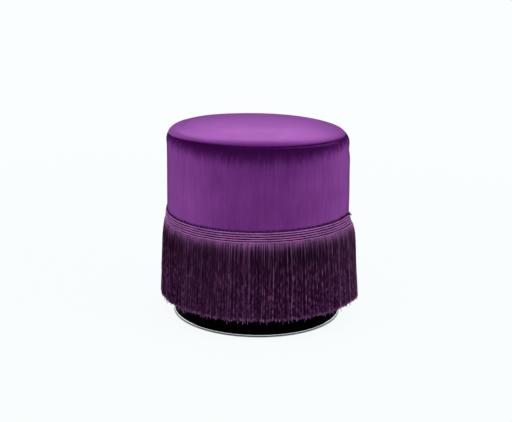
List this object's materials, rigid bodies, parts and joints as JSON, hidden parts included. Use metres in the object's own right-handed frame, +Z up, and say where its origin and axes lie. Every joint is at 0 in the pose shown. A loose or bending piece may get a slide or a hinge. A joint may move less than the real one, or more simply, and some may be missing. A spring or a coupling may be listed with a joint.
{
  "type": "tuffet",
  "caption": "Round upholstered footstool: a velvet drum seat with a braid-headed hanging fringe, on a recessed black plinth with a thin polished metal foot ring.",
  "frame": {"origin": "on the floor, under the middle of the seat", "axes": "+Z up through the middle of the seat; -Y towards the front that the picture shows; +X towards the side with the braid's loose end"},
  "size_m": [0.432, 0.432, 0.4085],
  "materials": {
    "velvet": "matte",
    "braid_yarn": "matte",
    "fringe_yarn": "matte",
    "foam": "matte",
    "wadding": "matte",
    "hardboard": "matte",
    "plywood": "matte",
    "softwood": "matte",
    "zinc_steel": "satin",
    "black_paint": "satin",
    "black_fabric": "matte",
    "polished_ring": "polished",
    "black_nylon": "matte"
  },
  "bodies": {
    "root": {"top_cover": "velvet", "side_cover": "velvet", "seat_foam": "foam", "side_padding": "wadding", "drum_shell": "hardboard", "seat_deck": "plywood", "base_board": "plywood", "post_1": "softwood", "post_2": "softwood", "post_3": "softwood", "post_4": "softwood", "deck_screw_1": "zinc_steel", "deck_screw_2": "zinc_steel", "deck_screw_3": "zinc_steel", "deck_screw_4": "zinc_steel", "post_screw_1": "zinc_steel", "post_screw_2": "zinc_steel", "post_screw_3": "zinc_steel", "post_screw_4": "zinc_steel", "plinth_hoop": "black_paint", "plinth_block_1": "softwood", "plinth_block_2": "softwood", "plinth_block_3": "softwood", "plinth_block_4": "softwood", "plinth_screw_1": "zinc_steel", "plinth_screw_2": "zinc_steel", "plinth_screw_3": "zinc_steel", "plinth_screw_4": "zinc_steel", "dust_cover": "black_fabric", "base_ring": "polished_ring", "ring_screw_1": "zinc_steel", "ring_screw_2": "zinc_steel", "ring_screw_3": "zinc_steel", "ring_screw_4": "zinc_steel", "glide_1": "black_nylon", "glide_2": "black_nylon", "glide_3": "black_nylon", "glide_4": "black_nylon", "braid": "braid_yarn", "braid_tail": "braid_yarn", "fringe_right": "fringe_yarn", "fringe_back": "fringe_yarn", "fringe_left": "fringe_yarn", "fringe_front": "fringe_yarn"}
  },
  "joints": []
}
